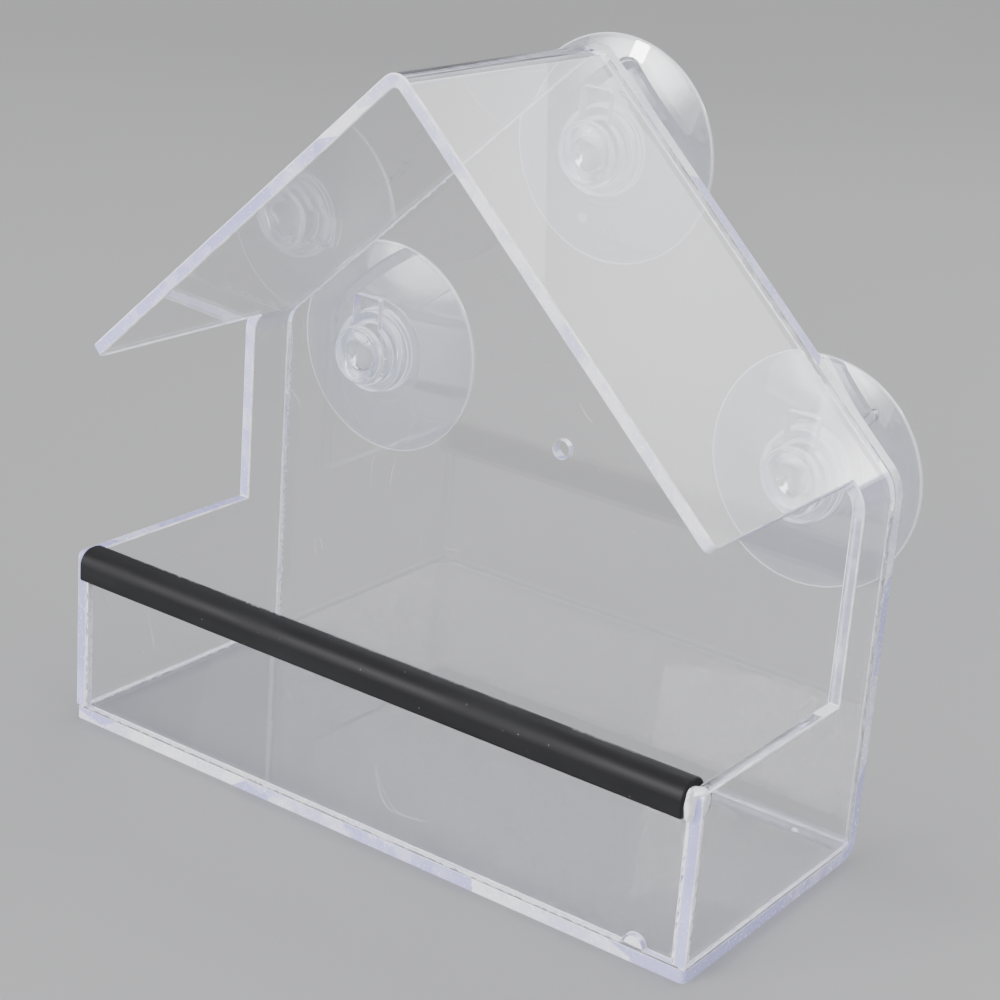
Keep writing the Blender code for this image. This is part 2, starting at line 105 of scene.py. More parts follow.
# The front panel's drain notch and the rubber trim over its top edge
DRAIN_NOTCH_RADIUS = 0.0022
DRAIN_NOTCH_INSET = 0.0085
DRAIN_NOTCH_X = FRONT_HIGH.x - DRAIN_NOTCH_INSET
NOTCH_GLUE_Y = FRONT_Y + SHEET * 0.3
TRIM_CROWN = 0.0018
TRIM_CROWN_FLAT = 0.0007
TRIM_GRIP_GAP = 0.0003
TRIM_LEG_END = 0.0007
TRIM_END_ROUND = 0.0004
TRIM_MIDDLE_Y = (TRIM_HIGH.y + TRIM_LOW.y) / 2
TRIM_CROWN_RADIUS = (TRIM_HIGH.y - TRIM_LOW.y) / 2 - TRIM_CROWN_FLAT / 2

# The suction cups, measured along their axis from the back panel's rear face
CUP_NODES = {
    "cup_top": "suction_cup_top",
    "cup_left": "suction_cup_left",
    "cup_right": "suction_cup_right",
}
CUP_RADIUS = (CUP_HIGH.x - CUP_LOW.x) / 2
CUP_HEIGHT = CUP_HIGH.y - REAR_Y
CUP_CLEARANCE = 0.0003
KNOB_FRONT = CUP_LOW.y - REAR_Y
KNOB_RADIUS = 0.00645
KNOB_CLEARANCE = 0.00035
KNOB_EDGE = 0.0010
KNOB_CROWN = 0.0009
KNOB_DIMPLE = 0.0016
KNOB_DIMPLE_DEPTH = 0.0006
NECK_RADIUS = 0.0031
NECK_FILLET = 0.0004
COLLAR_RADIUS = 0.0088
COLLAR_THICKNESS = 0.0017
COLLAR_EDGE = 0.0003
BOSS_RADIUS = 0.0068
BOSS_HEIGHT = 0.0006
DOME_ROOT = CUP_CLEARANCE + COLLAR_THICKNESS + BOSS_HEIGHT
MOULD_STEP_RADII = (0.0098, 0.0113)
MOULD_STEP_HEIGHT = 0.00012
MOULD_STEP_RUN = 0.00025
CUP_ROOT_WALL = 0.0013
CUP_RIM_THICKNESS = 0.0008
CUP_RIM_FLAT = 0.0008
CUP_RIM_EDGE = 0.0003
NIB_WIDTH = 0.0024
NIB_LENGTH = 0.0042
NIB_HEIGHT = 0.0010
NIB_WALL = 0.0006
NIB_PLACE_RADIUS = 0.0180
NIB_TURN = 51.0

# The holes in the back panel
KEYHOLE_RADIUS = KNOB_RADIUS + KNOB_CLEARANCE
SLOT_HALF_WIDTH = NECK_RADIUS + CUP_CLEARANCE
SLOT_RISE = 0.0125
SLOT_CORNER = 0.0006
SCREW_HOLE_RADIUS = 0.0020
SCREW_HOLE_HEIGHT = 0.0645
CUTTER_OVERRUN = 0.002

# How finely round shapes are made, and the turns in degrees that count as flat and as sharp
BEND_STEPS = 16
CORNER_STEPS = 8
EASED_STEPS = 5
DIMPLE_STEPS = 8
DOME_STEPS = 40
ROUND_STEPS = 144
HOLE_STEPS = 72
FLAT_TURN = 0.05
SHARP_TURN = 30.0

# The material slots of an acrylic piece: polished faces, cut edges, the scraped corners along them,
# heated bends, and cut edges that came out clearer
FACE, EDGE, CORNER, BEND, CLEAR_EDGE = range(5)

# Shared by the materials: how light bends, a saw's fine grain, and white
ACRYLIC_IOR = 1.49
PVC_IOR = 1.53
GLUE_IOR = 1.47
SAW_GRAIN = 1500.0
SAW_GRAIN_DEPTH = 0.00005
WHITE = (1.0, 1.0, 1.0, 1.0)

# The waves that make a drop of glue lumpy: how many, their pace over it, their shift, their height
DROP_WAVES = 5
DROP_WAVE_PACE = 5
DROP_WAVE_SHIFT = 6
DROP_LUMP_SHARE = 0.26

# The dust on the trim's crown: its seed, its lines, their turn round it in degrees, its crumbs
DUST_SEED = 7
DUST_LINES = 24
DUST_LINE_LENGTH = 0.008
DUST_LINE_TURN = 77.0
DUST_LINE_SPREAD = 2.0
DUST_CRUMB_SPREAD = 1.5
DUST_CRUMBS = (2, 26)
DUST_CRUMB_SIZES = (0.00007, 0.00022)

# The floor, and the camera, which stands where the photograph was taken from
FLOOR_HALF_SIZE = 6.0
CAMERA_PLACE = (0.24091, -0.32946, 0.21438)
CAMERA_TURN = (71.1493, -5.0302, 34.1005)
CAMERA_SENSOR = 36.0
CAMERA_LENS = 81.286
CAMERA_SHIFT = (-0.1201, -0.0601)
CAMERA_CLIP_START = 0.01


def fillet(before, corner, after, radius, steps):
    """The points of a round corner of the given radius, from one straight run to the next."""
    into = (before - corner).normalized()
    out_of = (after - corner).normalized()
    half_angle = into.angle(out_of) / 2
    reach = radius / math.tan(half_angle)
    middle = corner + (into + out_of).normalized() * (radius / math.sin(half_angle))
    first = corner + into * reach - middle
    last = corner + out_of * reach - middle
    sweep = first.angle(last)
    points = []
    for step in range(steps + 1):
        share = step / steps
        blend = first * math.sin((1 - share) * sweep) + last * math.sin(share * sweep)
        points.append(middle + blend / math.sin(sweep))
    return points


def rounded_outline(corners, steps):
    """A closed outline from (x, y, radius) corners, in order."""
    points = []
    for index, (x, y, radius) in enumerate(corners):
        corner = Vector((x, y))
        if not radius:
            points.append(corner)
            continue
        before = Vector(corners[index - 1][:2])
        after = Vector(corners[(index + 1) % len(corners)][:2])
        points.extend(fillet(before, corner, after, radius, steps))
    return points


def arc(centre_x, centre_y, radius, start, end, steps):
    """Points on an arc, both ends included. Angles are in radians."""
    angles = (start + (end - start) * step / steps for step in range(steps + 1))
    return [Vector((centre_x + radius * math.cos(a), centre_y + radius * math.sin(a))) for a in angles]


def lofted(bm, outlines, side=FACE, cap=FACE):
    """Adds a closed solid through outlines with as many points each. Its ends are flat."""
    rings = [[bm.verts.new(point) for point in outline] for outline in outlines]
    bm.faces.new(rings[0]).material_index = cap
    bm.faces.new(rings[-1]).material_index = cap
    for near, far in zip(rings, rings[1:]):
        for index in range(len(near)):
            after = (index + 1) % len(near)
            corners = (near[index], near[after], far[after], far[index])
            bm.faces.new(corners).material_index = side


def prism(bm, outline, low, high, side=FACE, cap=FACE):
    """Adds a prism: an outline in X and Z, carried along Y."""
    lofted(bm, [[(p.x, y, p.y) for p in outline] for y in (low, high)], side, cap)


def piece_from(name, bm, materials, location=(0.0, 0.0, 0.0)):
    """Turns a bmesh into a smooth-shaded object in the scene, with its faces pointing out."""
    bmesh.ops.recalc_face_normals(bm, faces=bm.faces)
    mesh = bpy.data.meshes.new(name)
    bm.to_mesh(mesh)
    bm.free()
    for material in materials:
        mesh.materials.append(material)
    mesh.shade_smooth()
    mesh.set_sharp_from_angle(angle=math.radians(SHARP_TURN))
    item = bpy.data.objects.new(name, mesh)
    item.location = location
    bpy.context.scene.collection.objects.link(item)
    return item


def ease_edges(item, width, segments=2, material=CORNER):
    """Takes the sharpness off the edges of a piece, and keeps its flat faces flat in the light."""
    bevel = item.modifiers.new("eased_edges", "BEVEL")
    bevel.width = width
    bevel.segments = segments
    bevel.limit_method = "ANGLE"
    bevel.angle_limit = math.radians(SHARP_TURN)
    bevel.material = material
    keep_flats(item)


def keep_flats(item):
    """Keeps the shading of flat faces flat up to their eased edges."""
    weigh = item.modifiers.new("flats_stay_flat", "WEIGHTED_NORMAL")
    weigh.keep_sharp = True
    weigh.weight = 90


def bake_modifiers(item):
    """Makes a piece's modified shape its own mesh."""
    graph = bpy.context.evaluated_depsgraph_get()
    mesh = bpy.data.meshes.new_from_object(item.evaluated_get(graph))
    old = item.data
    item.modifiers.clear()
    item.data = mesh
    bpy.data.meshes.remove(old)


def cut_away(item, cutters, operation="DIFFERENCE"):
    """Cuts the cutters out of a piece, or joins them to it, and removes them."""
    for cutter in cutters:
        modifier = item.modifiers.new(cutter.name, "BOOLEAN")
        modifier.operation = operation
        modifier.solver = "EXACT"
        modifier.object = cutter
    bake_modifiers(item)
    for cutter in cutters:
        bpy.data.objects.remove(cutter)


def dress(piece, body, slot, *nodes):
    """Lets a piece ride on its body, and hides the nodes that it stands for. slot is not used."""
    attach(piece, body)
    if nodes:
        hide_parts(*nodes)


# Materials


def node(tree, kind, settings=None, **inputs):
    """Adds a shader node. Its inputs take values or the sockets that feed them."""
    made = tree.nodes.new("ShaderNode" + kind)
    for name, value in (settings or {}).items():
        setattr(made, name, value)
    for name, value in inputs.items():
        socket = made.inputs[name.replace("_", " ")]
        if isinstance(value, bpy.types.NodeSocket):
            tree.links.new(value, socket)
        else:
            socket.default_value = value
    return made


def new_material(name):
    """An empty node material, with its tree and the coordinates of a point in its piece."""
    material = bpy.data.materials.new(name)
    material.use_nodes = True
    material.node_tree.nodes.clear()
    tree = material.node_tree
    coordinates = node(tree, "TexCoord").outputs["Object"]
    return material, tree, coordinates


def stretched(tree, coordinates, scale):
    return node(tree, "Mapping", Vector=coordinates, Scale=scale).outputs["Vector"]


def vector_length(tree, vector):
    made = node(tree, "VectorMath", {"operation": "LENGTH"})
    tree.links.new(vector, made.inputs[0])
    return made.outputs["Value"]


def noise(tree, coordinates, scale, detail=4.0, roughness=0.55, distortion=0.0):
    made = node(
        tree, "TexNoise", Vector=coordinates, Scale=scale, Detail=detail, Roughness=roughness,
        Distortion=distortion,
    )
    return made.outputs["Fac"]


def ranged(tree, value, from_min, from_max, to_min=0.0, to_max=1.0):
    """Maps one range of a value to another, held at both ends."""
    made = node(
        tree, "MapRange", Value=value, From_Min=from_min, From_Max=from_max, To_Min=to_min, To_Max=to_max,
    )
    return made.outputs["Result"]


def math_node(tree, operation, first, second=0.5):
    made = tree.nodes.new("ShaderNodeMath")
    made.operation = operation
    for socket, value in zip(made.inputs, (first, second)):
        if isinstance(value, bpy.types.NodeSocket):
            tree.links.new(value, socket)
        else:
            socket.default_value = value
    return made.outputs[0]


def scaled(tree, value, factor, offset):
    """A value times a factor, plus an offset."""
    return math_node(tree, "ADD", math_node(tree, "MULTIPLY", value, factor), offset)


def bumped(tree, height, strength, distance):
    return node(tree, "Bump", Height=height, Strength=strength, Distance=distance).outputs["Normal"]


def mixed_colour(tree, share, first, second):
    return node(tree, "MixRGB", Fac=share, Color1=first, Color2=second).outputs["Color"]


def specks(tree, coordinates, spacing, size_share, kept):
    """A mask of small round specks: one in each cell of the given spacing, some of them kept."""
    cells = node(tree, "TexVoronoi", Vector=coordinates, Scale=1 / spacing)
    near = ranged(tree, cells.outputs["Distance"], size_share * 0.6, size_share, 1.0, 0.0)
    drawn = node(tree, "SeparateColor", Color=cells.outputs["Color"]).outputs["Red"]
    chosen = math_node(tree, "LESS_THAN", drawn, kept)
    return math_node(tree, "MULTIPLY", near, chosen)


def scratches(tree, coordinates, reach, width_share, kept):
    """A mask of hairline scratches: arcs about reach long, where a soft noise passes its middle."""
    field = noise(tree, coordinates, 1 / reach, detail=0.0)
    off_middle = math_node(tree, "ABSOLUTE", math_node(tree, "SUBTRACT", field, 0.5))
    line = ranged(tree, off_middle, width_share * 0.4, width_share, 1.0, 0.0)
    patch = ranged(tree, noise(tree, coordinates, 2.1 / reach, detail=1.0), 1.0 - kept, 1.04 - kept)
    return math_node(tree, "MULTIPLY", line, patch)


def show(material, tree, shader):
    output = node(tree, "OutputMaterial")
    tree.links.new(shader.outputs[0], output.inputs["Surface"])
    return material


def clear_surface(material, tree, shade, **inputs):
    """Shows a clear plastic, and lets light pass straight through it onto what stands behind."""
    path = node(tree, "LightPath")
    passed = node(tree, "BsdfTransparent", Color=shade)
    surface = node(tree, "BsdfPrincipled", **inputs)
    for kind in ("Is Diffuse Ray", "Is Shadow Ray"):
        mixed = node(tree, "MixShader", Fac=path.outputs[kind])
        tree.links.new(surface.outputs[0], mixed.inputs[1])
        tree.links.new(passed.outputs[0], mixed.inputs[2])
        surface = mixed
    return show(material, tree, surface)


def acrylic_face(name):
    """Polished acrylic: clear, with faint smudges, hairline scratches and a little dust."""
    material, tree, place = new_material(name)
    smudge = ranged(tree, noise(tree, place, 34.0, detail=3.0, roughness=0.62, distortion=0.6), 0.48, 0.72)
    dust = specks(tree, place, spacing=0.0024, size_share=0.050, kept=0.09)
    one_way, other_way = stretched(tree, place, (1.0, 1.4, 0.8)), stretched(tree, place, (1.3, 0.7, 1.1))
    long_marks = scratches(tree, one_way, reach=0.030, width_share=0.0018, kept=0.40)
    short_marks = scratches(tree, other_way, reach=0.016, width_share=0.0022, kept=0.38)
    marks = math_node(tree, "MAXIMUM", long_marks, short_marks)
    clear = scaled(tree, scaled(tree, marks, 0.26, dust), -0.8, 1.0)
    rough = scaled(tree, marks, 0.25, scaled(tree, smudge, 0.03, 0.003))
    wave = noise(tree, place, 9.0, detail=0.0)
    normal = bumped(tree, wave, 0.12, 0.0008)
    return clear_surface(
        material, tree, (0.955, 0.955, 0.972, 1.0), Base_Color=(0.985, 0.986, 0.997, 1.0),
        Roughness=rough, IOR=ACRYLIC_IOR, Transmission_Weight=clear, Normal=normal,
    )


def acrylic_bend(name):
    """Acrylic that was heated and bent: clear, with a lavender haze."""
    material, tree, place = new_material(name)
    cloud = noise(tree, stretched(tree, place, (1.0, 0.3, 1.0)), 240.0, detail=2.0)
    clear = ranged(tree, cloud, 0.3, 0.7, 0.82, 0.94)
    return clear_surface(
        material, tree, (0.88, 0.88, 0.93, 1.0), Base_Color=(0.88, 0.88, 0.99, 1.0), Roughness=0.03,
        IOR=ACRYLIC_IOR, Transmission_Weight=clear,
    )


def acrylic_edge(name):
    """A cut edge: frosty and pale lavender, with lengths painted whiter as light caught inside the sheet.
    """
    material, tree, place = new_material(name)
    cells = node(tree, "TexVoronoi", Vector=place, Scale=52.0)
    drawn = node(tree, "SeparateColor", Color=cells.outputs["Color"]).outputs["Red"]
    cloud = ranged(tree, noise(tree, place, 180.0, detail=2.0), 0.40, 0.62, -0.15, 0.15)
    # Painted light: lengths of the edge, cell by cell, are painted whiter and less clear, as if lit from
    # inside the sheet.
    painted_light_lengths = ranged(tree, math_node(tree, "ADD", drawn, cloud), 0.25, 0.85)
    grain = noise(tree, place, SAW_GRAIN, detail=1.0)
    chips = specks(tree, place, spacing=0.0011, size_share=0.20, kept=0.10)
    colour = mixed_colour(tree, painted_light_lengths, (0.56, 0.56, 0.97, 1.0), (0.94, 0.94, 1.0, 1.0))
    colour = mixed_colour(tree, math_node(tree, "MULTIPLY", chips, 0.3), colour, (0.42, 0.42, 0.62, 1.0))
    clear = scaled(tree, painted_light_lengths, -0.16, 0.26)
    rough = ranged(tree, grain, 0.35, 0.7, 0.16, 0.30)
    normal = bumped(tree, grain, 0.16, SAW_GRAIN_DEPTH)
    return clear_surface(
        material, tree, (0.70, 0.70, 0.80, 1.0), Base_Color=colour, Roughness=rough, IOR=ACRYLIC_IOR,
        Transmission_Weight=clear, Normal=normal,
    )


def acrylic_clear_edge(name):
    """A smoother cut edge: greyish and half clear, with a white painted highlight at the tray edge's rear
    end.
    """
    material, tree, place = new_material(name)
    cloud = ranged(tree, noise(tree, place, 70.0, detail=2.0), 0.50, 0.62)
    depth = node(tree, "SeparateXYZ", Vector=place).outputs["Y"]
    highlight_start = UPPER_SIDE_FRONT_Y - PAINTED_HIGHLIGHT_LENGTH
    highlight_end = UPPER_SIDE_FRONT_Y - ARRIS
    # Painted highlight: the patch between these depths is painted white and nearly opaque.
    starts = ranged(tree, depth, highlight_start - PAINTED_HIGHLIGHT_FADE, highlight_start + PAINTED_HIGHLIGHT_FADE)
    ends = ranged(tree, depth, highlight_end, highlight_end + PAINTED_HIGHLIGHT_FADE, 1.0, 0.0)
    patch = math_node(tree, "MULTIPLY", starts, ends)
    colour = mixed_colour(tree, cloud, (0.74, 0.74, 0.84, 1.0), (0.90, 0.90, 0.98, 1.0))
    colour = mixed_colour(tree, patch, colour, (0.97, 0.97, 1.0, 1.0))
    clear = ranged(tree, cloud, 0.0, 1.0, 0.86, 0.50)
    clear = math_node(tree, "MINIMUM", clear, ranged(tree, patch, 0.0, 1.0, 1.0, 0.12))
    grain = noise(tree, place, SAW_GRAIN, detail=1.0)
    normal = bumped(tree, grain, 0.10, SAW_GRAIN_DEPTH)
    return clear_surface(
        material, tree, (0.78, 0.78, 0.86, 1.0), Base_Color=colour, Roughness=0.12, IOR=ACRYLIC_IOR,
        Transmission_Weight=clear, Normal=normal,
    )


def acrylic_arris(name):
    """The scraped corner along a cut edge: a thin whitish line, partly scraping and partly a painted
    highlight.
    """
    material, tree, place = new_material(name)
    # The corner is painted whiter in places: partly real scraping, partly a painted highlight along the
    # edge.
    wear_and_highlight = ranged(tree, noise(tree, place, 260.0, detail=2.0), 0.36, 0.62)
    colour = mixed_colour(tree, wear_and_highlight, (0.84, 0.84, 0.98, 1.0), WHITE)
    clear = scaled(tree, wear_and_highlight, -0.18, 0.20)
    return clear_surface(
        material, tree, (0.80, 0.80, 0.86, 1.0), Base_Color=colour, Roughness=0.22, IOR=ACRYLIC_IOR,
        Transmission_Weight=clear,
    )


def soft_pvc(name):
    """Soft clear PVC: glossy, with faint ripples, a little lint, and painted highlights at its middle and
    rims.
    """
    material, tree, place = new_material(name)
    ripple = noise(tree, place, 160.0, detail=1.0)
    smudge = ranged(tree, noise(tree, place, 70.0, detail=3.0, distortion=0.4), 0.48, 0.74, 0.02, 0.09)
    lint = specks(tree, place, spacing=0.0024, size_share=0.060, kept=0.16)
    off_axis = vector_length(tree, stretched(tree, place, (1.0, 0.0, 1.0)))
    # Painted highlights: a pale spot at the knob's middle and pale rings at the knob, collar and disc
    # rims, whiter and less clear.
    painted_highlight = ranged(tree, off_axis, 0.0, KNOB_DIMPLE * 1.6, 0.30, 0.02)
    # Each rim's radius, the reach of its painted highlight, and how pale it is painted
    highlight_rims = ((KNOB_RADIUS, 0.0007, 0.62), (COLLAR_RADIUS, 0.0005, 0.62), (CUP_RADIUS, 0.0005, 0.65))
    for radius, width, share in highlight_rims:
        away = math_node(tree, "ABSOLUTE", math_node(tree, "SUBTRACT", off_axis, radius))
        painted_highlight = math_node(tree, "MAXIMUM", painted_highlight, ranged(tree, away, 0.0, width, share, 0.0))
    colour = mixed_colour(tree, painted_highlight, (0.87, 0.90, 0.965, 1.0), WHITE)
    clear = math_node(tree, "SUBTRACT", 0.97, scaled(tree, lint, 0.4, painted_highlight))
    normal = bumped(tree, ripple, 0.08, 0.0004)
    return clear_surface(
        material, tree, (0.91, 0.92, 0.95, 1.0), Base_Color=colour, Roughness=smudge, IOR=PVC_IOR,
        Transmission_Weight=clear, Coat_Weight=0.8, Coat_Roughness=0.03, Normal=normal,
    )


def dried_glue(name, clearest):
    """Dried solvent glue: frosty white, or nearly clear in a thin film. clearest is from 0 to 1."""
    material, tree, place = new_material(name)
    bubbles = specks(tree, place, spacing=0.0007, size_share=0.36, kept=0.55)
    cloud = ranged(tree, noise(tree, place, 420.0, detail=2.0), 0.42, 0.62)
    clear = scaled(tree, cloud, -0.22, clearest)
    rough = ranged(tree, bubbles, 0.0, 1.0, 0.32, 0.12)
    normal = bumped(tree, bubbles, 0.5, 0.0001)
    return clear_surface(
        material, tree, (0.80, 0.80, 0.86, 1.0), Base_Color=(0.97, 0.97, 1.0, 1.0), Roughness=rough,
        IOR=GLUE_IOR, Transmission_Weight=clear, Normal=normal,
    )


def black_rubber(name):
    """Matte black rubber with a fine grain, a little bloom and some dust in it."""
    material, tree, place = new_material(name)
    streaks = noise(tree, stretched(tree, place, (0.25, 1.0, 1.0)), 120.0, detail=4.0)
    bloom = ranged(tree, streaks, 0.42, 0.66)
    grain = noise(tree, place, 4200.0, detail=2.0)
    dust = specks(tree, place, spacing=0.0011, size_share=0.085, kept=0.10)
    colour = mixed_colour(tree, bloom, (0.006, 0.006, 0.0072, 1.0), (0.012, 0.012, 0.0138, 1.0))
    colour = mixed_colour(tree, dust, colour, (0.34, 0.34, 0.35, 1.0))
    rough = ranged(tree, bloom, 0.0, 1.0, 0.52, 0.66)
    normal = bumped(tree, grain, 0.28, 0.00005)
    shader = node(
        tree, "BsdfPrincipled", Base_Color=colour, Roughness=rough, Specular_IOR_Level=0.22,
        Normal=normal,
    )
    return show(material, tree, shader)


def pale_dust(name):
    """Dry whitish crumbs."""
    material, tree, place = new_material(name)
    tone = ranged(tree, noise(tree, place, 3000.0), 0.35, 0.65)
    colour = mixed_colour(tree, tone, (0.62, 0.62, 0.63, 1.0), (0.86, 0.86, 0.88, 1.0))
    return show(material, tree, node(tree, "BsdfPrincipled", Base_Color=colour, Roughness=0.85))


def floor_paper(name):
    """The pale paper sweep that the feeder stands on, painted paler far out, where the lamps' light falls
    off.
    """
    material, tree, place = new_material(name)
    tone = ranged(tree, noise(tree, place, 2.2, detail=2.0), 0.35, 0.65)
    colour = mixed_colour(tree, tone, (0.31, 0.31, 0.316, 1.0), (0.325, 0.325, 0.331, 1.0))
    # Painted light: the paper is painted paler with distance, standing in for lamp light that falls off
    # far from the feeder.
    far = ranged(tree, vector_length(tree, place), 0.9, 4.5)
    colour = mixed_colour(tree, far, colour, (0.80, 0.80, 0.81, 1.0))
    grain = noise(tree, place, 900.0, detail=2.0)
    normal = bumped(tree, grain, 0.05, 0.0002)
    return show(
        material, tree, node(tree, "BsdfPrincipled", Base_Color=colour, Roughness=0.5, Normal=normal),
    )


# The bent sheets


def bent_stations(corners):
    """Pairs of an outer and an inner point down a bent sheet's profile.

    corners are the sharp outer corners as (across, up, inner bend radius), with the outer side on
    the left of the way along. A corner of radius zero is an end, or a station on a straight run.
    """
    stations = []
    for index, (across, up, radius) in enumerate(corners):
        corner = Vector((across, up))
        if radius:
            before = Vector(corners[index - 1][:2])
            after = Vector(corners[index + 1][:2])
            outer_radius = radius + SHEET
            outer = fillet(before, corner, after, outer_radius, BEND_STEPS)
            into = (before - corner).normalized()
            out_of = (after - corner).normalized()
            half_angle = into.angle(out_of) / 2
            middle = corner + (into + out_of).normalized() * (outer_radius / math.sin(half_angle))
            stations.extend((point, middle + (point - middle) * radius / outer_radius) for point in outer)
        else:
            near = corners[index + 1] if index == 0 else corners[index - 1]
            along = (Vector(near[:2]) - corner).normalized()
            if index:
                along.negate()
            stations.append((corner, corner + Vector((along.y, -along.x)) * SHEET))
    return stations


def round_corners(bm, edges, radius):
    """Rounds corners of a sheet in its own plane. The edges run through its thickness."""
    made = bmesh.ops.bevel(
        bm, geom=edges, offset=radius, offset_type="OFFSET", segments=CORNER_STEPS, profile=0.5,
        affect="EDGES",
    )
    for face in made["faces"]:
        face.material_index = EDGE


def keyhole_outline():
    """A round hole that passes the knob, with a flat-topped slot above it for the neck."""
    meeting = math.acos(SLOT_HALF_WIDTH / KEYHOLE_RADIUS)
    points = arc(0.0, 0.0, KEYHOLE_RADIUS, math.pi - meeting, 2 * math.pi + meeting, HOLE_STEPS)
    above = Vector((SLOT_HALF_WIDTH, points[-1].y))
    right_top = Vector((SLOT_HALF_WIDTH, SLOT_RISE))
    left_top = Vector((-SLOT_HALF_WIDTH, SLOT_RISE))
    points += fillet(above, right_top, left_top, SLOT_CORNER, CORNER_STEPS)
    points += fillet(right_top, left_top, points[0], SLOT_CORNER, CORNER_STEPS)
    return points


def cup_middle(node_name):
    """The X and Z of a suction cup's axis."""
    low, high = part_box(node_name)
    return (low.x + high.x) / 2, (low.z + high.z) / 2


def hole_cutters():
    """Makes the solids of the keyholes and the screw hole, one by one."""
    holes = [(keyhole_outline(), *cup_middle(name)) for name in CUP_NODES.values()]
    ring = arc(0.0, 0.0, SCREW_HOLE_RADIUS, 0.0, 2 * math.pi, HOLE_STEPS)[:-1]
    holes.append((ring, 0.0, SCREW_HOLE_HEIGHT))
    for outline, x, z in holes:
        bm = bmesh.new()
        prism(bm, outline, PANEL_FRONT_Y - CUTTER_OVERRUN, REAR_Y + CUTTER_OVERRUN, side=EDGE, cap=EDGE)
        # Its material slots are empty, but let the cut faces keep the slot EDGE
        yield piece_from("hole", bm, (None, None, None), (x, 0.0, z))


def make_back_and_floor(materials):
    """The house-shaped back panel, bent at its foot into the floor."""
    foot_z = FOOT_BEND + SHEET
    eave_radius = EAVE_BEND + SHEET
    ridge_radius = RIDGE_BEND + SHEET
    outline = rounded_outline(
        [
            (HALF_WIDTH, foot_z, 0.0),
            (HALF_WIDTH, EAVE_HEIGHT, eave_radius),
            (0.0, RIDGE_HEIGHT, ridge_radius),
            (-HALF_WIDTH, EAVE_HEIGHT, eave_radius),
            (-HALF_WIDTH, foot_z, 0.0),
        ],
        BEND_STEPS,
    )
    bm = bmesh.new()
    rear = [bm.verts.new((p.x, REAR_Y, p.y)) for p in outline]
    front = [bm.verts.new((p.x, PANEL_FRONT_Y, p.y)) for p in outline]
    bm.faces.new(rear)
    bm.faces.new(front)
    for index in range(len(outline) - 1):
        face = bm.faces.new((rear[index], rear[index + 1], front[index + 1], front[index]))
        face.material_index = EDGE

    profile = bent_stations([(REAR_Y, foot_z, 0.0), (REAR_Y, 0.0, FOOT_BEND), (FRONT_Y, 0.0, 0.0)])
    right_ring, left_ring = (rear[0], front[0]), (rear[-1], front[-1])
    for outer, inner in profile[2:]:
        rings = []
        for x in (HALF_WIDTH, -HALF_WIDTH):
            rings.append((bm.verts.new((x, outer.x, outer.y)), bm.verts.new((x, inner.x, inner.y))))
        skin = FACE if outer is profile[-1][0] else BEND
        bm.faces.new((right_ring[0], left_ring[0], rings[1][0], rings[0][0])).material_index = skin
        bm.faces.new((right_ring[1], left_ring[1], rings[1][1], rings[0][1])).material_index = skin
        bm.faces.new((right_ring[0], right_ring[1], rings[0][1], rings[0][0])).material_index = EDGE
        bm.faces.new((left_ring[0], left_ring[1], rings[1][1], rings[1][0])).material_index = EDGE
        right_ring, left_ring = rings
    bm.faces.new((right_ring[0], right_ring[1], left_ring[1], left_ring[0])).material_index = EDGE
    bmesh.ops.recalc_face_normals(bm, faces=bm.faces)
    round_corners(bm, [bm.edges.get(right_ring), bm.edges.get(left_ring)], FLOOR_CORNER)

    sheet = piece_from("back_and_floor_acrylic", bm, materials)
    cut_away(sheet, list(hole_cutters()))
    sheet.data.set_sharp_from_angle(angle=math.radians(SHARP_TURN))
    ease_edges(sheet, ARRIS)
    dress(sheet, HOUSE, "clear_acrylic", "back_and_floor_sheet")


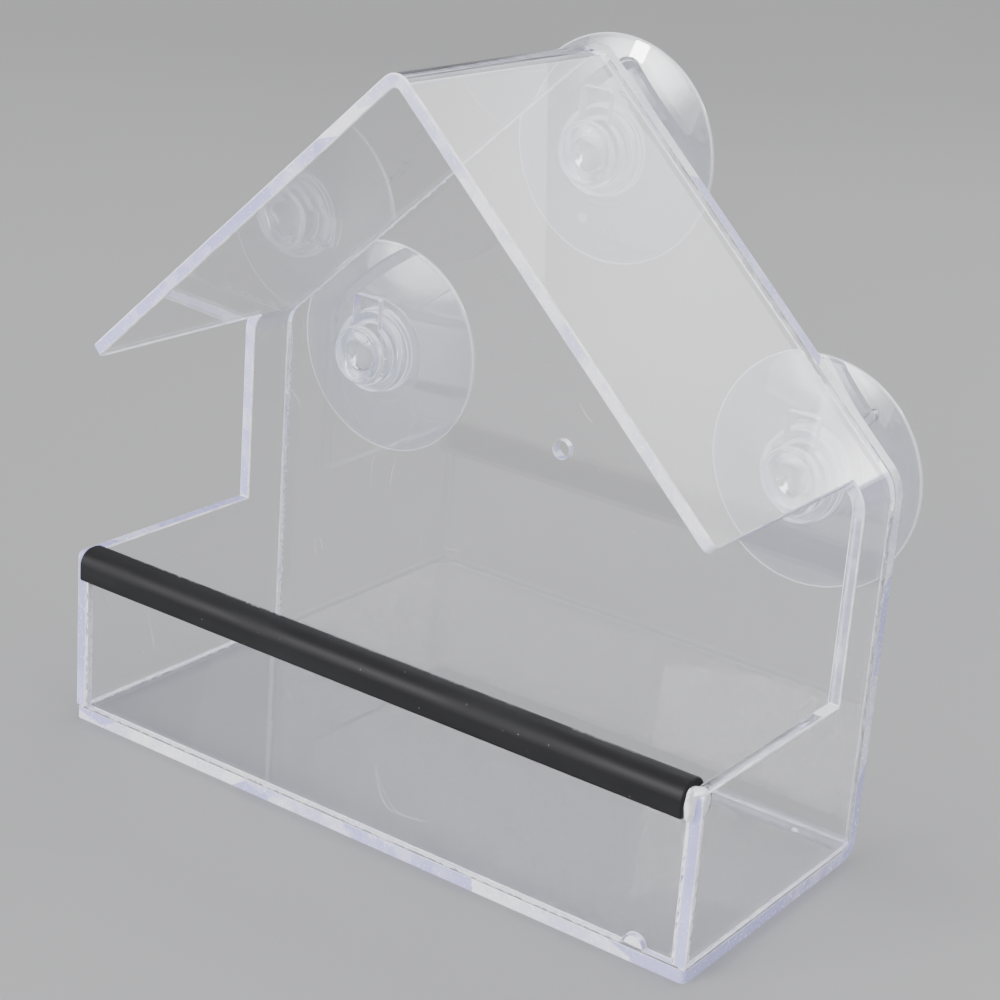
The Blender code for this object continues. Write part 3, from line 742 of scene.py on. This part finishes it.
def make_roof_and_sides(materials):
    """One sheet bent at the ridge and at both eaves, cut back at the sides above the tray."""
    turn = math.pi / 2 - SLOPE_ANGLE
    reach = (EAVE_BEND + SHEET) * math.tan(turn / 2) + EAVE_RELIEF
    cut_x = HALF_WIDTH - reach * math.cos(SLOPE_ANGLE)
    cut_z = EAVE_HEIGHT + reach * math.sin(SLOPE_ANGLE)
    foot_z = ROOF_LOW.z
    stations = bent_stations(
        [
            (-HALF_WIDTH, foot_z, 0.0),
            (-HALF_WIDTH, TRAY_HEIGHT, 0.0),
            (-HALF_WIDTH, EAVE_HEIGHT, EAVE_BEND),
            (-cut_x, cut_z, 0.0),
            (0.0, RIDGE_HEIGHT, RIDGE_BEND),
            (cut_x, cut_z, 0.0),
            (HALF_WIDTH, EAVE_HEIGHT, EAVE_BEND),
            (HALF_WIDTH, TRAY_HEIGHT, 0.0),
            (HALF_WIDTH, foot_z, 0.0),
        ]
    )
    last = len(stations) - 1
    tray_left, tray_right = 1, last - 1
    cut_left = tray_left + BEND_STEPS + 2
    cut_right = cut_left + BEND_STEPS + 2
    bend_starts = (tray_left + 1, cut_left + 1, cut_right + 1)
    levels = (FRONT_Y, UPPER_SIDE_FRONT_Y, SIDE_REAR_Y)
    front, rear = 0, len(levels) - 1
    bm = bmesh.new()
    grid = [
        [(bm.verts.new((o.x, y, o.y)), bm.verts.new((i.x, y, i.y))) for y in levels]
        for o, i in stations
    ]

    def has_sheet(station, level):
        """Whether there is sheet from this station and level to the next ones."""
        if not (0 <= station < last and front <= level < rear):
            return False
        if level > front:
            return True
        return station < tray_left or cut_left <= station < cut_right or station >= tray_right

    for station in range(last):
        for level in range(rear):
            if not has_sheet(station, level):
                continue
            a, b = grid[station][level], grid[station + 1][level]
            c, d = grid[station + 1][level + 1], grid[station][level + 1]
            bent = any(0 <= station - first < BEND_STEPS for first in bend_starts)
            skin = BEND if bent else FACE
            bm.faces.new((a[0], b[0], c[0], d[0])).material_index = skin
            bm.faces.new((a[1], b[1], c[1], d[1])).material_index = skin
            around = (
                (station, level - 1, (a[0], b[0], b[1], a[1])),
                (station, level + 1, (d[0], c[0], c[1], d[1])),
                (station - 1, level, (a[0], d[0], d[1], a[1])),
                (station + 1, level, (b[0], c[0], c[1], b[1])),
            )
            for next_station, next_level, corners in around:
                if has_sheet(next_station, next_level):
                    continue
                tray_or_upper_side_cut = next_station < station or front <= next_level < level
                if next_level == rear and not bent:
                    cut_skin = FACE
                elif station > cut_right and tray_or_upper_side_cut:
                    cut_skin = CLEAR_EDGE
                else:
                    cut_skin = EDGE
                bm.faces.new(corners).material_index = cut_skin
    loose = [vert for vert in bm.verts if not vert.link_faces]
    bmesh.ops.delete(bm, geom=loose, context="VERTS")
    bmesh.ops.recalc_face_normals(bm, faces=bm.faces)

    spots = [(tray_left, front), (tray_right, front), (cut_left, front), (cut_right, front)]
    cut_corners = [bm.edges.get(grid[station][level]) for station, level in spots]
    feet = [bm.edges.get(grid[station][rear]) for station in (0, last)]
    kept = set(cut_corners + feet)
    flat = [edge for edge in bm.edges if edge not in kept]
    limit = math.radians(FLAT_TURN)
    bmesh.ops.dissolve_limit(bm, angle_limit=limit, verts=[], edges=flat, delimit={"MATERIAL"})
    round_corners(bm, cut_corners, CUT_CORNER)
    feet = [
        edge for edge in bm.edges
        if all((vert.co.yz - Vector((SIDE_REAR_Y, foot_z))).length < GLUE_GAP / 10 for vert in edge.verts)
    ]
    round_corners(bm, feet, FOOT_BEND - GLUE_GAP)
    sheet = piece_from("roof_and_sides_acrylic", bm, materials)
    ease_edges(sheet, ARRIS)
    dress(sheet, HOUSE, "clear_acrylic", "roof_and_sides_sheet")


def make_front_panel(materials):
    """The upright front of the tray, with its half-round drain notch."""
    outline = [Vector((FRONT_LOW.x, FRONT_LOW.z))]
    outline += arc(DRAIN_NOTCH_X, FRONT_LOW.z, DRAIN_NOTCH_RADIUS, math.pi, 0.0, HOLE_STEPS // 2)
    outline += [
        Vector((FRONT_HIGH.x, FRONT_LOW.z)),
        Vector((FRONT_HIGH.x, FRONT_HIGH.z)),
        Vector((FRONT_LOW.x, FRONT_HIGH.z)),
    ]
    bm = bmesh.new()
    prism(bm, outline, FRONT_LOW.y, FRONT_HIGH.y, side=EDGE)
    panel = piece_from("front_panel_acrylic", bm, materials)
    ease_edges(panel, ARRIS / 2)
    dress(panel, HOUSE, "clear_acrylic", "front_panel")


# The rubber trim


def make_trim(material):
    """A soft channel over the front panel's top edge, with eased ends."""
    inner_half = SHEET / 2 + TRIM_GRIP_GAP
    top, foot, grip = TRIM_HIGH.z, TRIM_LOW.z, TRIM_HIGH.z - TRIM_CROWN
    corners = [
        (TRIM_HIGH.y, foot, TRIM_LEG_END),
        (TRIM_HIGH.y, top, TRIM_CROWN_RADIUS),
        (TRIM_LOW.y, top, TRIM_CROWN_RADIUS),
        (TRIM_LOW.y, foot, TRIM_LEG_END),
        (TRIM_MIDDLE_Y - inner_half, foot, TRIM_LEG_END),
        (TRIM_MIDDLE_Y - inner_half, grip, 0.0),
        (TRIM_MIDDLE_Y + inner_half, grip, 0.0),
        (TRIM_MIDDLE_Y + inner_half, foot, TRIM_LEG_END),
    ]
    outline = rounded_outline(corners, BEND_STEPS)
    bm = bmesh.new()
    lofted(bm, [[(x, p.x, p.y) for p in outline] for x in (TRIM_LOW.x, TRIM_HIGH.x)])
    trim = piece_from("perch_trim_rubber", bm, (material,))
    ease_edges(trim, TRIM_END_ROUND, segments=4, material=FACE)
    dress(trim, HOUSE, "black_rubber", "perch_edge_trim")


# The suction cups


def dome_height(radius):
    """How far along the axis the dome's outside lies at a radius, but for its moulded steps."""
    rise_share = (radius**2 - BOSS_RADIUS**2) / (CUP_RADIUS**2 - BOSS_RADIUS**2)
    return DOME_ROOT + (CUP_HEIGHT - CUP_RIM_THICKNESS - DOME_ROOT) * rise_share


def eased(corners):
    """The round corners of an open run of (radius, along, rounding, steps), but for its two ends."""
    points = []
    for before, at, after in zip(corners, corners[1:], corners[2:]):
        points += fillet(Vector(before[:2]), Vector(at[:2]), Vector(after[:2]), *at[2:])
    return points


def smooth_share(share):
    """A share that starts and ends gently, held from 0 to 1."""
    share = min(max(share, 0.0), 1.0)
    return share * share * (3 - 2 * share)


def cup_profile():
    """The turned profile as (radius, along axis), from the knob's middle round to the hollow's."""
    knob_rear = -SHEET - CUP_CLEARANCE
    shoulder = KNOB_FRONT + KNOB_CROWN
    collar_front = CUP_CLEARANCE
    collar_rear = collar_front + COLLAR_THICKNESS

    profile = []
    for step in range(DIMPLE_STEPS + 1):
        share = step / DIMPLE_STEPS
        depth = KNOB_DIMPLE_DEPTH * (1 + math.cos(math.pi * share)) / 2
        profile.append(Vector((KNOB_DIMPLE * share, KNOB_FRONT + depth)))
    for step in range(1, DIMPLE_STEPS):
        share = step / DIMPLE_STEPS
        radius = KNOB_DIMPLE + (KNOB_RADIUS - KNOB_EDGE - KNOB_DIMPLE) * share
        profile.append(Vector((radius, KNOB_FRONT + KNOB_CROWN * share**2)))

    corners = [
        (0.0, shoulder, 0.0, 0),
        (KNOB_RADIUS, shoulder, KNOB_EDGE, CORNER_STEPS),
        (KNOB_RADIUS, knob_rear, KNOB_EDGE, CORNER_STEPS),
        (NECK_RADIUS, knob_rear, NECK_FILLET, EASED_STEPS),
        (NECK_RADIUS, collar_front, NECK_FILLET, EASED_STEPS),
        (COLLAR_RADIUS, collar_front, COLLAR_EDGE, EASED_STEPS),
        (COLLAR_RADIUS, collar_rear, COLLAR_EDGE, EASED_STEPS),
        (BOSS_RADIUS, collar_rear, COLLAR_EDGE / 2, EASED_STEPS),
        (BOSS_RADIUS, DOME_ROOT, 0.0, 0),
    ]
    profile += eased(corners)

    outside = [
        BOSS_RADIUS + (CUP_RADIUS - BOSS_RADIUS) * step / DOME_STEPS for step in range(DOME_STEPS + 1)
    ]
    for edge in MOULD_STEP_RADII:
        outside += [edge, edge + MOULD_STEP_RUN / 2, edge + MOULD_STEP_RUN]
    for radius in sorted(set(outside)):
        height = dome_height(radius)
        for edge in MOULD_STEP_RADII:
            height -= MOULD_STEP_HEIGHT * (1 - smooth_share((radius - edge) / MOULD_STEP_RUN))
        if radius == BOSS_RADIUS:
            height = DOME_ROOT
        profile.append(Vector((radius, height)))

    rim_top = profile.pop().y
    rim_inner = CUP_RADIUS - CUP_RIM_FLAT
    corners = [
        (*profile[-1], 0.0, 0),
        (CUP_RADIUS, rim_top, CUP_RIM_EDGE / 2, EASED_STEPS),
        (CUP_RADIUS, CUP_HEIGHT, CUP_RIM_EDGE, EASED_STEPS),
        (rim_inner, CUP_HEIGHT, 0.0, 0),
    ]
    profile += eased(corners)
    hollow_deep = DOME_ROOT + CUP_ROOT_WALL
    for step in range(DOME_STEPS + 1):
        radius = rim_inner * (1 - step / DOME_STEPS)
        depth_share = (radius / rim_inner) ** 2
        profile.append(Vector((radius, hollow_deep + (CUP_HEIGHT - hollow_deep) * depth_share)))
    return profile


def turned(bm, profile):
    """Adds a profile, which starts and ends on the axis, turned about the Y axis."""
    first = bm.verts.new((0.0, profile[0].y, 0.0))
    last = bm.verts.new((0.0, profile[-1].y, 0.0))
    turns = [2 * math.pi * step / ROUND_STEPS for step in range(ROUND_STEPS)]
    rings = []
    for point in profile[1:-1]:
        places = [(point.x * math.cos(turn), point.y, point.x * math.sin(turn)) for turn in turns]
        rings.append([bm.verts.new(place) for place in places])
    for step in range(ROUND_STEPS):
        after = (step + 1) % ROUND_STEPS
        bm.faces.new((first, rings[0][step], rings[0][after]))
        bm.faces.new((last, rings[-1][after], rings[-1][step]))
        for near, far in zip(rings, rings[1:]):
            bm.faces.new((near[step], far[step], far[after], near[after]))


def nib_outline(inset):
    """The nib's long round-ended outline along X, or one that lies inside it by the inset."""
    radius = NIB_WIDTH / 2 - inset
    straight = NIB_LENGTH / 2 - inset - radius
    outline = arc(straight, 0.0, radius, -math.pi / 2, math.pi / 2, CORNER_STEPS)
    outline += arc(-straight, 0.0, radius, math.pi / 2, 3 * math.pi / 2, CORNER_STEPS)
    return [point + Vector((NIB_PLACE_RADIUS, 0.0)) for point in outline]


def make_nib(material):
    """The small hollow tab on the right cup's dome, pointing away from the cup's middle."""
    surface = dome_height(NIB_PLACE_RADIUS)
    top, foot = surface - NIB_HEIGHT, surface + CUP_ROOT_WALL / 2
    pit = surface - NIB_HEIGHT / 4
    outer, inner = nib_outline(0.0), nib_outline(NIB_WALL)
    rings = ((outer, foot), (outer, top), (inner, top), (inner, pit))
    bm = bmesh.new()
    lofted(bm, [[(p.x, y, p.y) for p in outline] for outline, y in rings])
    nib = piece_from("nib", bm, (material,))
    bevel = nib.modifiers.new("eased", "BEVEL")
    bevel.width = NIB_WALL / 4
    bevel.segments = 2
    bevel.angle_limit = math.radians(SHARP_TURN)
    bake_modifiers(nib)
    return nib


def make_cups(material):
    """The three suction cups, each in its keyhole. The right one has a nib."""
    profile = cup_profile()
    for body, node_name in CUP_NODES.items():
        x, z = cup_middle(node_name)
        bm = bmesh.new()
        turned(bm, profile)
        cup = piece_from(body + "_pvc", bm, (material,), (x, REAR_Y, z))
        if body == "cup_right":
            nib = make_nib(material)
            nib.location = cup.location
            nib.rotation_euler = (0.0, math.radians(-NIB_TURN), 0.0)
            cut_away(cup, [nib], "UNION")
            cup.data.shade_smooth()
            cup.data.set_sharp_from_angle(angle=math.radians(SHARP_TURN))
        keep_flats(cup)
        dress(cup, body, "clear_pvc", node_name)


# Glue in the seams, and dust


def glue_film(name, material, start, end, across, width, seed, low_ragged=GLUE_RAGGED):
    """A thin film of dried glue between two sheets, from start to end, with ragged sides.

    across is the direction of its width. Its thickness is square to both. low_ragged is how ragged
    the side is that across points away from.
    """
    draw = random.Random(seed)
    start, end, across = Vector(start), Vector(end), Vector(across).normalized()
    along = (end - start).normalized()
    up = along.cross(across).normalized() * GLUE_FILM / 2
    length = (end - start).length
    count = int(length / GLUE_STEP)
    outlines = []
    for step in range(count + 1):
        middle = start + along * length * step / count
        low = -width / 2 + low_ragged * draw.random() ** 2
        high = width / 2 - GLUE_RAGGED * draw.random() ** 2
        near, far = middle + across * low, middle + across * high
        outlines.append((near - up, far - up, far + up, near + up))
    bm = bmesh.new()
    lofted(bm, outlines)
    film = piece_from(name, bm, (material,))
    dress(film, HOUSE, "clear_acrylic")


def make_glue(material, thin_material):
    """The solvent glue in the seams of the house, thin along the back panel."""
    half = SHEET / 2
    end_x = FRONT_HIGH.x + GLUE_GAP / 2
    seam_y = FRONT_Y + half
    rear_y = (SIDE_REAR_Y + PANEL_FRONT_Y) / 2
    foot_z = SHEET + GLUE_GAP / 2
    foot_width = SHEET - 2 * ARRIS
    slope_length = math.hypot(HALF_WIDTH, RIDGE_HEIGHT - EAVE_HEIGHT)
    for side, name in ((-1, "left"), (1, "right")):
        side_x = side * (HALF_WIDTH - half)
        slope = Vector((side * math.cos(SLOPE_ANGLE), 0.0, -math.sin(SLOPE_ANGLE)))
        inward = Vector((-side * math.sin(SLOPE_ANGLE), 0.0, -math.cos(SLOPE_ANGLE)))
        ridge = Vector((0.0, rear_y, RIDGE_HEIGHT)) + inward * half
        glue_film(
            f"glue_front_{name}", material, (side * end_x, seam_y, FRONT_LOW.z),
            (side * end_x, seam_y, FRONT_HIGH.z), (0.0, 1.0, 0.0), SHEET, seed=11 + side,
        )
        glue_film(
            f"glue_foot_{name}", material, (side_x, FRONT_Y + ARRIS, foot_z),
            (side_x, SIDE_REAR_Y - FOOT_BEND, foot_z), (1.0, 0.0, 0.0), foot_width, seed=21 + side,
        )
        glue_film(
            f"glue_rear_{name}", thin_material, (side_x, rear_y, FOOT_BEND + SHEET),
            (side_x, rear_y, EAVE_HEIGHT - EAVE_BEND), (-side, 0.0, 0.0), SHEET, seed=31 + side,
            low_ragged=ARRIS,
        )
        glue_film(
            f"glue_roof_{name}", thin_material, ridge + slope * EAVE_BEND,
            ridge + slope * (slope_length - EAVE_BEND), inward, SHEET, seed=41 + side, low_ragged=ARRIS,
        )
    glue_film(
        "glue_front_foot", material, (FRONT_LOW.x + ARRIS, seam_y, foot_z),
        (DRAIN_NOTCH_X - DRAIN_NOTCH_RADIUS, seam_y, foot_z), (0.0, 1.0, 0.0), foot_width, seed=51,
    )


def make_glue_drops(material):
    """The smear between the trim's right end and the corner, its run, and smaller drops of glue."""
    end_x = TRIM_HIGH.x
    top = TRAY_HEIGHT
    behind_y = TRIM_MIDDLE_Y + 0.0010
    # Each drop's middle, its size along each axis, and the seed of its lumps
    drops = {
        "glue_smear": ((end_x + 0.0007, FRONT_Y - 0.0008, top - 0.0026), (0.0018, 0.0026, 0.0064), 3),
        "glue_cap": ((end_x + 0.0014, FRONT_Y + 0.0006, top - 0.0001), (0.0032, 0.0030, 0.0012), 8),
        "glue_run": ((end_x + 0.0004, FRONT_Y + 0.0001, top - 0.0086), (0.0008, 0.0008, 0.0074), 4),
        "glue_behind": ((end_x + GLUE_GAP / 2, behind_y, top - 0.0027), (0.00026, 0.0036, 0.0050), 6),
        "glue_spot": (
            (HALF_WIDTH - 0.0128, SIDE_REAR_Y - 0.0016, SHEET + 0.0003), (0.0016, 0.0009, 0.0008), 5,
        ),
    }
    for name, (middle, size, seed) in drops.items():
        draw = random.Random(seed)
        waves = []
        for _ in range(DROP_WAVES):
            pace = Vector([draw.uniform(-1, 1) for _ in range(3)]) * DROP_WAVE_PACE
            waves.append((pace, draw.uniform(0, DROP_WAVE_SHIFT)))
        bm = bmesh.new()
        made = bmesh.ops.create_icosphere(bm, subdivisions=4, radius=1.0)
        for vert in made["verts"]:
            lump = sum(math.sin(vert.co.dot(pace) + shift) for pace, shift in waves) / len(waves)
            vert.co *= 1 + DROP_LUMP_SHARE * lump
            vert.co = Vector(co * length / 2 for co, length in zip(vert.co, size))
        drop = piece_from(name, bm, (material,), middle)
        dress(drop, HOUSE, "clear_acrylic")


def make_notch_glue(material):
    """The skin of glue that has run across the drain notch."""
    radius = DRAIN_NOTCH_RADIUS - GLUE_GAP
    outline = arc(0.0, 0.0, radius, math.pi, 0.0, HOLE_STEPS // 2)
    bm = bmesh.new()
    prism(bm, outline, NOTCH_GLUE_Y - GLUE_GAP / 2, NOTCH_GLUE_Y + GLUE_GAP / 2)
    skin = piece_from("glue_notch", bm, (material,), (DRAIN_NOTCH_X, 0.0, FRONT_LOW.z))
    dress(skin, HOUSE, "clear_acrylic")


def crumb(bm, draw, middle, size):
    """Adds one small uneven crumb."""
    made = bmesh.ops.create_icosphere(bm, subdivisions=1, radius=size / 2)
    squash = Vector((draw.uniform(0.7, 1.5), draw.uniform(0.6, 1.1), draw.uniform(0.4, 0.8)))
    for vert in made["verts"]:
        vert.co = Vector(middle) + Vector(co * share for co, share in zip(vert.co, squash))


def make_trim_dust(material):
    """Crumbs of dust caught along the back of the trim's crown."""
    draw = random.Random(DUST_SEED)
    first_x, last_x = TRIM_LOW.x + TRIM_END_ROUND, TRIM_HIGH.x - TRIM_END_ROUND
    centre_y = TRIM_MIDDLE_Y + TRIM_CROWN_FLAT / 2
    centre_z = TRIM_HIGH.z - TRIM_CROWN_RADIUS
    bm = bmesh.new()
    for _ in range(DUST_LINES):
        start = draw.uniform(first_x, last_x)
        line_turn = draw.gauss(DUST_LINE_TURN, DUST_LINE_SPREAD)
        for _ in range(draw.randint(*DUST_CRUMBS)):
            x = start + draw.uniform(0.0, DUST_LINE_LENGTH)
            if x > last_x:
                continue
            size = draw.uniform(*DUST_CRUMB_SIZES)
            turn = math.radians(line_turn + draw.gauss(0.0, DUST_CRUMB_SPREAD))
            reach = TRIM_CROWN_RADIUS - size / 8
            middle = (x, centre_y + reach * math.cos(turn), centre_z + reach * math.sin(turn))
            crumb(bm, draw, middle, size)
    dust = piece_from("trim_dust", bm, (material,))
    dress(dust, HOUSE, "black_rubber")


# The set


def make_floor(material):
    """A wide paper floor just under the feeder."""
    bm = bmesh.new()
    bmesh.ops.create_grid(bm, x_segments=1, y_segments=1, size=FLOOR_HALF_SIZE)
    floor = piece_from("floor", bm, (material,), (0.0, 0.0, CAD_LOW.z))


def add_softbox(name, place, target, size, radiance, hot_share=1.0, rim_share=1.0):
    """A rectangular soft light that faces a target.

    hot_share and rim_share are the shares of its radiance in its middle and at its rim.
    """
    lamp = bpy.data.lights.new(name, "AREA")
    lamp.shape = "RECTANGLE"
    lamp.size, lamp.size_y = size
    lamp.energy = radiance * math.pi * size[0] * size[1]
    if hot_share != rim_share:
        lamp.use_nodes = True
        tree = lamp.node_tree
        spot = node(tree, "NewGeometry").outputs["Parametric"]
        middle = node(tree, "VectorMath", {"operation": "DISTANCE"})
        tree.links.new(spot, middle.inputs[0])
        middle.inputs[1].default_value = (0.5, 0.5, 0.0)
        glow = node(
            tree, "MapRange", {"interpolation_type": "SMOOTHSTEP"}, Value=middle.outputs["Value"],
            From_Min=0.0, From_Max=0.5, To_Min=hot_share, To_Max=rim_share,
        )
        tree.links.new(glow.outputs["Result"], tree.nodes["Emission"].inputs["Strength"])
    item = bpy.data.objects.new(name, lamp)
    item.location = place
    item.rotation_euler = (Vector(target) - Vector(place)).to_track_quat("-Z", "Y").to_euler()
    item.visible_camera = False
    bpy.context.scene.collection.objects.link(item)


def make_lights():
    """Softboxes round the feeder, and a sky that is paler near the horizon."""
    middle = (CAD_LOW + CAD_HIGH) / 2
    over = Vector((-0.30, 1.00, 0.0))
    behind, glint = middle + Vector((0.26, 0.78, 0.56)), middle + Vector((0.37, 0.84, 0.40))
    front, sparkle = middle + Vector((-0.90, -2.20, 0.90)), middle + Vector((-1.00, -2.00, 1.10))
    above, right = middle + over + Vector((0.0, 0.0, 2.0)), middle + Vector((1.60, -0.45, 0.55))
    add_softbox("softbox_behind", behind, middle, (0.72, 0.60), 2.2, hot_share=2.2)
    add_softbox("softbox_glint", glint, middle, (0.16, 0.12), 9.0, hot_share=1.6, rim_share=0.3)
    add_softbox("softbox_above", above, middle + over, (3.4, 3.4), 1.7)
    add_softbox("softbox_front", front, middle, (2.60, 1.70), 25.0, rim_share=0.08)
    add_softbox("softbox_sparkle", sparkle, middle, (0.30, 0.30), 60.0)
    add_softbox("softbox_right", right, middle, (1.10, 0.90), 16.0, rim_share=0.15)
    world = bpy.data.worlds.new("studio")
    world.use_nodes = True
    tree = world.node_tree
    height = node(tree, "SeparateXYZ", Vector=node(tree, "TexCoord").outputs["Generated"]).outputs["Z"]
    share = ranged(tree, height, 0.05, 0.45)
    sky = mixed_colour(tree, share, (0.50, 0.50, 0.52, 1.0), (0.14, 0.14, 0.15, 1.0))
    tree.links.new(sky, tree.nodes["Background"].inputs["Color"])
    bpy.context.scene.world = world


def make_camera():
    lens = bpy.data.cameras.new("camera")
    lens.sensor_width = CAMERA_SENSOR
    lens.lens = CAMERA_LENS
    lens.shift_x, lens.shift_y = CAMERA_SHIFT
    lens.clip_start = CAMERA_CLIP_START
    camera = bpy.data.objects.new("camera", lens)
    camera.location = CAMERA_PLACE
    camera.rotation_euler = [math.radians(turn) for turn in CAMERA_TURN]
    bpy.context.scene.collection.objects.link(camera)
    bpy.context.scene.camera = camera


def main():
    make_camera()
    acrylic = (
        acrylic_face("acrylic_face"),
        acrylic_edge("acrylic_edge"),
        acrylic_arris("acrylic_arris"),
        acrylic_bend("acrylic_bend"),
    )
    make_back_and_floor(acrylic)
    make_roof_and_sides((*acrylic, acrylic_clear_edge("acrylic_clear_edge")))
    make_front_panel(acrylic)
    make_trim(black_rubber("perch_rubber"))
    make_cups(soft_pvc("soft_pvc"))
    glue = dried_glue("dried_glue", 0.24)
    make_glue(glue, dried_glue("thin_glue", 1.0))
    make_glue_drops(glue)
    make_notch_glue(glue)
    make_trim_dust(pale_dust("pale_dust"))
    make_floor(floor_paper("floor_paper"))
    make_lights()


main()
